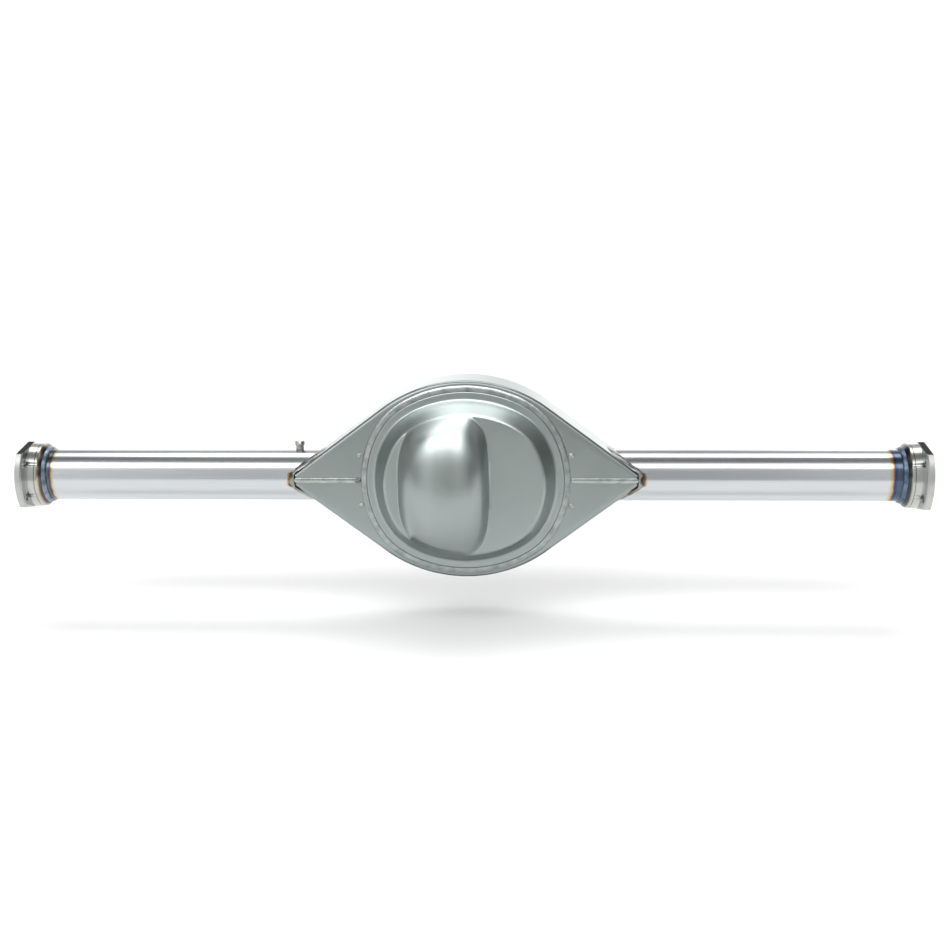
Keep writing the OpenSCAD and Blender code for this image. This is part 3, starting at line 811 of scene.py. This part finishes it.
def shell_grids(housing, shell, half):
    """Both skins of one shell, front and rear, closed by strips; the lower shell is the upper mirrored.

    The strips run along the seam and openings, across both tips, and where a tube passes the wing.
    """
    grids = []
    for facing, opening in ((-1, shell.rear_opening), (1, shell.front_opening)):
        skins = [shell_skin(housing, shell, inset, opening, facing) for inset in (0.0, shell.wall)]
        cut = np.abs(skins[1][:, -1, 1]) > 0
        edge = np.abs(skins[0][cut, -1, 1])
        skins[0][cut, -1, 1] = facing * np.maximum(edge, SLIT)
        right = np.argmin(cut) + 1
        left = len(cut) - np.argmin(cut[::-1]) - 1
        strips = [[skin[:, 0] for skin in skins]]
        strips += [[skin[row] for skin in skins] for row in (0, -1)]
        strips += [[skin[:right, -1] for skin in skins], [skin[left:, -1] for skin in skins]]
        grids += skins + [np.stack(strip) for strip in strips]
    return [(grid * [1, 1, half], (False, False)) for grid in grids]


# Points along a tube and round it
TUBE_LENGTHS = 120
TUBE_TURNS = 160


def tube_grids(housing, shell, side):
    """A tube as its closed wall section (x, r) turned about the axle line: (x, r cos t, r sin t)."""
    low, high = (corner[0] for corner in housing.tubes[side])
    r, bore, ease = housing.tube_r, housing.tube_r - shell.tube_wall, shell.tube_ease
    along = np.linspace(low + ease, high - ease, TUBE_LENGTHS)
    x = np.r_[along, high, high, low, low]
    radius = np.r_[np.full_like(along, r), r - ease, bore, bore, r - ease]
    turn = full_turn(TUBE_TURNS)[:, None]
    points = [np.broadcast_to(x, (len(turn), len(x))), radius * np.cos(turn), radius * np.sin(turn)]
    return [(np.stack(points, -1), (True, True))]


# Weld beads

# Points across a bead, how far its ripples bow in shares of the pitch, and the level that they swing about
BEAD_POINTS = 13
BOW = 0.45
CREST_LEVEL = 0.6
# Waves along a bead that its toes wander by, the range of their phases, the divisor of their sum, and the
# share of it that swells the bead
WAVES = range(5, 26, 4)
WAVE_PHASES = 6
WAVE_SUM = 2.5
TOE_SWELL = 0.35
# Height of the cover's bead as a share of its sheet, how freely the end and seam beads wander, and how much
# more freely the shells' beads do at a blunt tip
COVER_BEAD = 0.85
END_LOOSE = 0.5
SEAM_LOOSE = 0.6
TIP_LOOSE = 3
# What is added to the seed for each kind of bead, and the phase of the drop's lumps
SEEDS = {"cover": 3, "ring": 31, "end": 11, "tip": 17, "seam": 23}
DROP_PHASE = 5
# Points along the beads on the cover, on the ring, round the tubes and on the seams
COVER_STEPS = 2200
RING_STEPS = 1600
ROUND_STEPS = 900
SEAM_STEPS = 260
# Softness of the corner where a wing's end turns to its blunt tip
TIP_CORNER = 1.5
# Lumps round a plug weld: waves in a turn, height as a share of the radius, and how the phase shifts them
LUMPS = ((3, 0.07, 1.0), (5, 0.05, 2.3))
# Points round a plug weld and out from its middle, and the waves of the ripple on it
PLUG_TURNS = 48
PLUG_ROWS = 14
PLUG_WAVE = 9


def bead(path, leg, height, weld, phase, closed=True, span=math.pi / 2, loose=1.0):
    """A rippled bead along a path of (corner, side, up).

    At each point of the path the face runs over the angle t from corner + leg * side, on the ellipse
    (leg cos t, height sin t): a quarter of it in a corner, a half of it on a flat. Ripples are rounded
    crests of the given pitch, bowed along the path as they cross the bead, and the toes wander with a
    slow random sum of sines. An open bead dies away at its ends.
    """
    corner, side, up = path
    step = np.linalg.norm(np.roll(corner, -1, 0) - corner, axis=1)
    along = np.r_[0, np.cumsum(step)[:-1]]
    total = along[-1] + (step[-1] if closed else 0)
    count = max(1, round(total / weld.pitch))
    turn = np.linspace(0, span, BEAD_POINTS)
    inside = np.sin(math.pi * turn / span).clip(0, 1)
    rng = np.random.default_rng(weld.seed + int(phase))
    wander = np.zeros_like(along)
    for k in WAVES:
        size, shift = rng.normal(), rng.uniform(0, WAVE_PHASES)
        wander += size * np.sin(2 * math.pi * k * along / total + shift) / WAVE_SUM
    wander = (weld.wander * loose * wander)[:, None]
    cycle = (along[:, None] / total * count + BOW * inside) % 1.0
    crest = weld.ripple * (np.sqrt(np.clip(1 - (2 * cycle - 1) ** 2, 0, None)) - CREST_LEVEL)
    swell = crest * np.sqrt(inside) + TOE_SWELL * wander * inside
    a = leg + wander * np.cos(turn) ** 2
    b = np.broadcast_to(np.reshape(height, (-1, 1)), a.shape)
    if not closed:
        ends = (np.minimum(along, total - along) / weld.taper).clip(0, 1)
        fade = np.sqrt(1 - (1 - ends) ** 2)[:, None]
        a, b, swell = a * fade, b * fade, swell * fade
    u, v = (a + swell) * np.cos(turn), (b + swell) * np.sin(turn)
    face = corner[:, None] + u[:, :, None] * side[:, None] + v[:, :, None] * up[:, None]
    root = np.broadcast_to(corner[:, None], face[:, :1].shape)
    return [(np.concatenate([face, root], 1), (closed, True))]


def end_path(housing, side):
    """The corner between a tube and its bearing end: a ring on the tube, with its leg along the tube."""
    low, high = housing.tubes[side]
    x, inward = (low[0], 1.0) if side == "left" else (high[0], -1.0)
    turn = full_turn(ROUND_STEPS)
    up = np.stack([np.zeros_like(turn), np.cos(turn), np.sin(turn)], -1)
    return housing.tube_r * up + [x, 0, 0], np.broadcast_to([inward, 0.0, 0.0], up.shape), up


def tip_path(housing, weld, side):
    """The line where a wing ends on its tube, and how far each point belongs to the blunt tip.

    Round the tube at turn t from the top it lies at x = min(tip, apex - r |cos t| run): a plane cut of
    the tube above and below, and the blunt tip between them, with the corner softened.
    """
    turn = full_turn(ROUND_STEPS)
    slant = housing.apex - housing.tube_r * np.abs(np.cos(turn)) * housing.run
    x = soft_min([slant, np.full_like(slant, housing.tip)], TIP_CORNER)
    out = np.stack([np.zeros_like(turn), np.sin(turn), np.cos(turn)], -1)
    blunt = np.clip((slant - housing.tip + weld.shell_leg) / weld.shell_leg, 0, 1)
    rise = np.where(np.cos(turn) < 0, -1.0, 1.0) * math.cos(housing.slope)
    strip = np.stack([np.full_like(turn, math.sin(housing.slope)), np.zeros_like(turn), rise], -1)
    face = (1 - blunt)[:, None] * strip + blunt[:, None] * np.array([1.0, 0, 0])
    face /= np.linalg.norm(face, axis=1, keepdims=True)
    along = np.cross(face, out)
    along /= np.linalg.norm(along, axis=1, keepdims=True)
    corner = housing.tube_r * out + np.stack([x, np.zeros_like(x), np.zeros_like(x)], -1)
    mirror = np.array([-1 if side == "left" else 1, 1, 1])
    path = corner * mirror, np.cross(out, along) * mirror, np.cross(along, face) * mirror
    return path, blunt


def flat_path(outline, y, facing):
    """A closed path round a flat outline of X and Z at a given Y, its leg away from the outline."""
    tangent = np.roll(outline, -1, 0) - np.roll(outline, 1, 0)
    tangent /= np.linalg.norm(tangent, axis=1, keepdims=True)
    flat = np.zeros(len(outline))
    side = np.stack([tangent[:, 1], flat, -tangent[:, 0]], -1)
    corner = np.stack([outline[:, 0], flat + y, outline[:, 1]], -1)
    return corner, side, np.broadcast_to([0.0, facing, 0.0], side.shape)


def polar(radius, turn):
    """Flat points at the given radius and angle."""
    return np.stack([radius * np.cos(turn), radius * np.sin(turn)], -1)


def seam_path(housing, node, facing):
    """The seam's line on a flat wall, between its frame node's ends, and the bead's half width and height."""
    low, high = limits(node)
    x = np.linspace(low[0], high[0], SEAM_STEPS)
    flat = np.zeros_like(x)
    corner = np.stack([x, flat + facing * housing.wall_out, flat], -1)
    side = np.broadcast_to([0.0, 0.0, 1.0], corner.shape)
    up = np.broadcast_to([0.0, facing, 0.0], corner.shape)
    return (corner, side, up), high[2], high[1] - low[1]


def plug_grid(x, z, wall, rise, weld, phase):
    """The cap of a plug weld: a low dome h sqrt(1 - t^2) over a lumpy circle, closed below."""
    turn = full_turn(PLUG_TURNS)
    lump = 1 + sum(size * np.sin(waves * turn + shift * phase) for waves, size, shift in LUMPS)
    t = np.linspace(0, 1, PLUG_ROWS)[:, None]
    r = np.vstack([weld.plug_d / 2 * t * lump, np.zeros_like(lump)])
    height = rise * np.sqrt(1 - t**2) * (1 + weld.ripple * np.sin(PLUG_WAVE * t))
    y = np.broadcast_to(-wall - np.vstack([height, [[0.0]]]), r.shape)
    return np.stack([x + r * np.cos(turn), y, z + r * np.sin(turn)], -1)


# Points along a stud's thread and round the stud, and the share of the run-out that has no thread at all
THREAD_POINTS = 200
STUD_TURNS = 24
BARE_RUN = 0.5


def stud_grid(housing, stud, tip, centre):
    """A headed stud as rings along its axis, closed at both ends.

    On the thread r = r0 - depth * |saw(y / pitch - t / 2 pi)|, which fades out by the carrier's face.
    """
    face, seat = housing.ring_face, housing.wall_in
    thread = np.linspace(face, tip, THREAD_POINTS)
    r0 = stud.thread_d / 2
    y = np.r_[seat - stud.head, seat - stud.head, seat, seat, face, thread, tip]
    plain = np.minimum(r0, r0 - stud.chamfer + tip - thread)
    r = np.r_[0, stud.head_d / 2, stud.head_d / 2, stud.shank_d / 2, stud.shank_d / 2, plain, 0]
    fade = ((thread - face) / stud.run_out - BARE_RUN).clip(0, 1) * (tip - thread).clip(0, 1)
    depth = np.r_[np.zeros(5), stud.cut * fade, 0]
    turn = full_turn(STUD_TURNS)
    saw = np.abs(((y[:, None] / stud.pitch - turn / (2 * math.pi)) % 1.0) * 2 - 1)
    radius = r[:, None] - depth[:, None] * saw
    ring = [centre[0] + radius * np.cos(turn), y[:, None] + 0 * radius, centre[1] + radius * np.sin(turn)]
    return np.stack(ring, -1)


# Operators, one for each group of pieces


def dress(node, material):
    """Gives a frame node its finish."""
    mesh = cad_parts[node].data
    mesh.materials.clear()
    mesh.materials.append(material)


class HOUSING_OT_shells(Operator):
    """Make the two pressed shells and finish the gussets inside them"""

    bl_idname = "housing.shells"
    bl_label = "Pressed shells"

    def execute(self, context):
        look, shell, housing = settings("look"), settings("shell"), Housing()
        name = "Pressed sheet steel, blasted"
        material = sheet_material(name, look.sheet_dark, look.sheet_light, look.sheet_rough, SHEET_GRAIN)
        for node, half in (("upper_shell", 1), ("lower_shell", -1)):
            surface(node + "_skin", shell_grids(housing, shell, half), material, [node])
        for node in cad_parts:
            if node.endswith("gusset"):
                dress(node, material)
        return {"FINISHED"}


class HOUSING_OT_cover(Operator):
    """Make the pressed rear cover with its pan and ring gear bulge"""

    bl_idname = "housing.cover"
    bl_label = "Rear cover"

    def execute(self, context):
        look = settings("look")
        name = "Drawn sheet steel, satin"
        material = sheet_material(name, look.cover_dark, look.cover_light, look.cover_rough, COVER_GRAIN)
        grids = cover_grids(Housing(), settings("cover"))
        surface("rear_cover_skin", grids, material, ["rear_cover"], DRAWN_EDGE)
        return {"FINISHED"}


class HOUSING_OT_tubes(Operator):
    """Make the two axle tubes"""

    bl_idname = "housing.tubes"
    bl_label = "Axle tubes"

    def execute(self, context):
        shell, housing = settings("shell"), Housing()
        for side in housing.tubes:
            grids, material = tube_grids(housing, shell, side), tube_material(side, housing)
            surface(f"{side}_tube_skin", grids, material, [f"{side}_tube"])
        return {"FINISHED"}


class HOUSING_OT_ends(Operator):
    """Finish the forged ends, the carrier ring and the vent, and make the threaded studs"""

    bl_idname = "housing.ends"
    bl_label = "Ends, carrier face and vent"

    def execute(self, context):
        stud, housing = settings("stud"), Housing()
        turned = plain_material("Turned steel", *TURNED)
        plated = plain_material("Zinc plated steel", *PLATED)
        for side in housing.tubes:
            dress(f"{side}_bearing_end", forged_material(side, housing))
        dress("carrier_ring", turned)
        for node in ("vent_body", "vent_cap"):
            dress(node, plated)
        low, high = limits("carrier_studs")
        circle = (high[2] - low[2] - stud.head_d) / 2
        centres = polar(circle, math.pi / 2 - full_turn(stud.count))
        grids = [(stud_grid(housing, stud, high[1], centre), (False, True)) for centre in centres]
        surface("carrier_studs_threaded", grids, plated, ["carrier_studs"])
        return {"FINISHED"}


class HOUSING_OT_welds(Operator):
    """Make the weld beads"""

    bl_idname = "housing.welds"
    bl_label = "Weld beads"

    def execute(self, context):
        weld, cover, housing = settings("weld"), settings("cover"), Housing()
        brushed, cooled = weld_material("wire brushed"), weld_material("as it cooled")
        bright = weld_material("brushed bright")

        def lay(node, grids, material):
            surface(node.replace("weld", "bead"), grids, material, [node])

        turn = full_turn(COVER_STEPS)
        edge = polar(Outline(housing, cover, 0).radius(turn), turn)
        path = flat_path(edge, -housing.wall_out, -1.0)
        grids = bead(path, housing.cover_weld, COVER_BEAD * cover.wall, weld, SEEDS["cover"])
        lay("rear_cover_weld", grids, brushed)
        turn = full_turn(RING_STEPS)
        path = flat_path(polar(housing.ring_r, turn), housing.wall_out, 1.0)
        grids = bead(path, housing.ring_weld, housing.ring_weld, weld, SEEDS["ring"])
        lay("carrier_ring_weld", grids, brushed)
        for count, side in enumerate(housing.tubes):
            path, height = end_path(housing, side), housing.end_weld_r - housing.tube_r
            grids = bead(path, housing.end_weld, height, weld, SEEDS["end"] + count, loose=END_LOOSE)
            lay(f"{side}_end_weld", grids, weld_material(f"blued, {side}"))
            path, blunt = tip_path(housing, weld, side)
            height = weld.shell_leg - weld.tip_loss * blunt
            loose = 1 + TIP_LOOSE * blunt
            grids = bead(path, weld.shell_leg, height, weld, SEEDS["tip"] + count, loose=loose)
            lay(f"{side}_shell_weld", grids, cooled)
            for place, facing in (("rear", -1.0), ("front", 1.0)):
                node = f"{side}_{place}_seam"
                path, half, height = seam_path(housing, node, facing)
                seed = SEEDS["seam"] + count
                grids = bead(path, half, height, weld, seed, False, math.pi, SEAM_LOOSE)
                if node == "left_rear_seam":
                    x = limits(node)[1][0] - weld.plug_d / 2
                    drop = plug_grid(x, 0, housing.wall_out, weld.drop_h, weld, DROP_PHASE)
                    grids.append((drop, (False, True)))
                surface(node + "_bead", grids, bright, [node])
        _, high = limits("plug_welds")
        x, z = high[0] - weld.plug_d / 2, high[2] - weld.plug_d / 2
        places = [(a * x, b * z) for a in (-1, 1) for b in (-1, 1)]
        wall = housing.wall_out
        plugs = [plug_grid(*place, wall, weld.plug_h, weld, i) for i, place in enumerate(places)]
        lay("plug_welds", [(grid, (False, True)) for grid in plugs], bright)
        return {"FINISHED"}


class HOUSING_OT_stage(Operator):
    """Make the floor, the studio light and the camera"""

    bl_idname = "housing.stage"
    bl_label = "Floor, light and camera"

    def execute(self, context):
        scene, stage = context.scene, settings("stage")
        build_floor(scene, stage)
        build_card(scene, stage)
        build_studio(scene)
        build_lamps(scene)
        build_camera(scene, stage)
        scene.view_settings.view_transform = "Standard"
        return {"FINISHED"}


def flat_paint(name, colour):
    """Matt paint of one colour, for the stage."""
    material = bpy.data.materials.new(name)
    material.use_nodes = True
    tree = material.node_tree
    tree.nodes.clear()
    paint = add(tree, "ShaderNodeBsdfDiffuse", {"Color": linear(colour)})[0]
    add(tree, "ShaderNodeOutputMaterial", {"Surface": paint})
    return material


def build_floor(scene, stage):
    """A plain white floor under the housing, wide and deep, ending in front of it out of view."""
    z = limits("lower_shell")[0][2] - stage.floor_drop
    size, front = stage.floor_size, -stage.floor_front
    corners = [(-size, front, z), (size, front, z), (size, size, z), (-size, size, z)]
    mesh = bpy.data.meshes.new("floor")
    mesh.from_pydata((np.array(corners) * MM).tolist(), [], [(0, 1, 2, 3)])
    mesh.materials.append(flat_paint("White studio floor", stage.floor_tone))
    floor = bpy.data.objects.new("floor", mesh)
    scene.collection.objects.link(floor)


def build_card(scene, stage):
    """A dark card under the housing's belly, seen only in the steel, that gives the belly its shade."""
    z = limits("lower_shell")[0][2] - stage.card_drop
    reach, near, far = stage.card_w / 2, -stage.card_near, stage.card_far
    corners = [(-reach, near, z), (reach, near, z), (reach, far, z), (-reach, far, z)]
    mesh = bpy.data.meshes.new("card")
    mesh.from_pydata((np.array(corners) * MM).tolist(), [], [(0, 1, 2, 3)])
    mesh.materials.append(flat_paint("Dark grey card", stage.card_tone))
    card = bpy.data.objects.new("card", mesh)
    card.visible_camera = card.visible_diffuse = card.visible_shadow = False
    scene.collection.objects.link(card)


# Brightness of the studio by the angle in degrees round the axle line, from level towards the camera,
# up over the top and down to level behind: walls, a long soft box, a gap, another box, the backdrop
STUDIO = [
    (-180, 1.75),
    (-160, 1.75),
    (-140, 1.0),
    (-90, 0.70),
    (-18, 0.57),
    (39, 0.58),
    (47, 2.7),
    (58, 2.7),
    (66, 0.25),
    (95, 0.22),
    (101, 3.6),
    (115, 3.6),
    (122, 0.5),
    (140, 0.45),
    (150, 1.2),
    (160, 1.75),
    (180, 1.75),
]
# Brightness to the sides, by the angle in degrees off the way to the camera, left below zero
SIDES = [
    (-180, 1.0),
    (-162, 1.0),
    (-146, 0.20),
    (-96, 0.22),
    (-70, 0.60),
    (-45, 1.6),
    (-22, 1.5),
    (-10, 1.0),
    (10, 1.0),
    (22, 1.4),
    (42, 1.4),
    (60, 0.45),
    (96, 0.28),
    (146, 0.28),
    (162, 1.0),
    (180, 1.0),
]
# Brightness along the boxes, by how far a ray leans along the axle line, left below zero
FALL = [
    (-1.0, 1.08),
    (-0.42, 1.08),
    (-0.30, 1.25),
    (-0.16, 1.12),
    (0.0, 0.95),
    (0.12, 0.78),
    (0.15, 0.83),
    (0.22, 1.24),
    (0.30, 1.40),
    (0.40, 0.76),
    (1.0, 0.74),
]
# How far to the side a ray leans where the side walls begin to show, and where they show in full
WALLS = (0.22, 0.42)


def grey_stops(table):
    """A ramp's stops from a table of places and brightnesses, its ends at the ramp's ends."""
    low, high = table[0][0], table[-1][0]
    return [((at - low) / (high - low), (value, value, value, 1.0)) for at, value in table]


def build_studio(scene):
    """A world of long soft boxes: brightness by the angle round the axle line, with side walls."""
    world = bpy.data.worlds.new("Long soft boxes")
    scene.world = world
    world.use_nodes = True
    tree = world.node_tree
    tree.nodes.clear()
    ray = add(tree, "ShaderNodeTexCoord")["Generated"]
    x, y, z = add(tree, SPLIT, {0: ray})
    back = add(tree, MATH, {0: y, 1: -1.0}, operation="MULTIPLY")[0]
    glows = []
    for ahead, table in ((z, STUDIO), (x, SIDES)):
        turn = add(tree, MATH, {0: ahead, 1: back}, operation="ARCTAN2")[0]
        turn = add(tree, RANGE, {0: turn, 1: -math.pi, 2: math.pi})[0]
        glows.append(add(tree, RAMP, {0: turn}, grey_stops(table), "EASE")[0])
    wide = add(tree, MATH, {0: x}, operation="ABSOLUTE")[0]
    reach = add(tree, RANGE, {0: wide, 1: WALLS[0], 2: WALLS[1]}, interpolation_type="SMOOTHSTEP")[0]
    walls = add(tree, MIX, {0: reach, 2: 1.0, 3: glows[1]}, data_type="FLOAT")[0]
    lean = add(tree, RANGE, {0: x, 1: FALL[0][0], 2: FALL[-1][0]})[0]
    fall = add(tree, RAMP, {0: lean}, grey_stops(FALL))[0]
    glow = add(tree, MATH, {0: glows[0], 1: walls}, operation="MULTIPLY")[0]
    glow = add(tree, MATH, {0: glow, 1: fall}, operation="MULTIPLY")[0]
    sky = add(tree, "ShaderNodeBackground", {"Color": WHITE, "Strength": glow})[0]
    add(tree, "ShaderNodeOutputWorld", {"Surface": sky})


# The wash's spread and strength; the soft box's width and depth, power and place, in metres and watts
WASH_SPREAD = math.radians(110)
WASH_STRENGTH = 0.9
BOX_SIZE = (0.74, 0.64)
BOX_POWER = 3.5
BOX_PLACE = (-0.03, -0.22, 0.60)


def build_lamps(scene):
    """A wide wash from above that keeps the floor white, and a soft box flagged off all but the cover."""
    wash = bpy.data.lights.new("floor_wash", "SUN")
    wash.angle, wash.energy = WASH_SPREAD, WASH_STRENGTH
    lamp = bpy.data.objects.new("floor_wash", wash)
    lamp.visible_glossy = False
    scene.collection.objects.link(lamp)
    box = bpy.data.lights.new("middle_box", "AREA")
    box.shape, box.energy = "RECTANGLE", BOX_POWER
    box.size, box.size_y = BOX_SIZE
    lamp = bpy.data.objects.new("middle_box", box)
    lamp.visible_camera = lamp.visible_diffuse = False
    lit = bpy.data.collections.new("lit_by_middle_box")
    for name in ("rear_cover_skin", "rear_cover_bead"):
        lit.objects.link(bpy.data.objects[name])
    lamp.light_linking.receiver_collection = lit
    place = Vector(BOX_PLACE)
    lamp.matrix_world = Matrix.Translation(place) @ place.to_track_quat("Z", "Y").to_matrix().to_4x4()
    scene.collection.objects.link(lamp)


# Width of the camera's sensor in millimetres, which the lens setting means
SENSOR = 36.0


def build_camera(scene, stage):
    """A camera at the photo's place: the view direction from two angles, then a roll about it."""
    az, el, roll = stage.azimuth, stage.elevation, stage.roll
    ahead = Vector((-math.sin(az) * math.cos(el), math.cos(az) * math.cos(el), -math.sin(el)))
    right = Vector((math.cos(az), math.sin(az), 0.0))
    up = right.cross(ahead)
    turned = math.cos(roll) * right + math.sin(roll) * up
    risen = math.cos(roll) * up - math.sin(roll) * right
    target = Vector((stage.target_x, 0.0, stage.target_z)) * MM
    lens = bpy.data.cameras.new("camera")
    lens.lens = stage.lens
    lens.sensor_width = SENSOR
    camera = bpy.data.objects.new("camera", lens)
    axes = Matrix((turned, risen, -ahead)).transposed().to_4x4()
    camera.matrix_world = Matrix.Translation(target - ahead * stage.distance * MM) @ axes
    scene.collection.objects.link(camera)
    scene.camera = camera


# Add-on


class HOUSING_PT_panel(Panel):
    """The housing's settings and operators"""

    bl_label = "Axle housing"
    bl_idname = "HOUSING_PT_panel"
    bl_space_type = "VIEW_3D"
    bl_region_type = "UI"
    bl_category = "Housing"

    def draw(self, context):
        for name, group in GROUPS.items():
            box = self.layout.box()
            box.label(text=group.__doc__)
            for field in group.__annotations__:
                box.prop(getattr(context.scene, name), field)
        for operator in OPERATORS:
            self.layout.operator(operator.bl_idname)


OPERATORS = (
    HOUSING_OT_shells,
    HOUSING_OT_cover,
    HOUSING_OT_tubes,
    HOUSING_OT_ends,
    HOUSING_OT_welds,
    HOUSING_OT_stage,
)
CLASSES = (*GROUPS.values(), *OPERATORS, HOUSING_PT_panel)


def register():
    for cls in CLASSES:
        bpy.utils.register_class(cls)
    for name, group in GROUPS.items():
        setattr(bpy.types.Scene, name, PointerProperty(type=group))


def unregister():
    for name in GROUPS:
        delattr(bpy.types.Scene, name)
    for cls in reversed(CLASSES):
        bpy.utils.unregister_class(cls)


def main():
    register()
    bpy.ops.housing.shells()
    bpy.ops.housing.cover()
    bpy.ops.housing.tubes()
    bpy.ops.housing.ends()
    bpy.ops.housing.welds()
    bpy.ops.housing.stage()


if __name__ == "__main__":
    main()
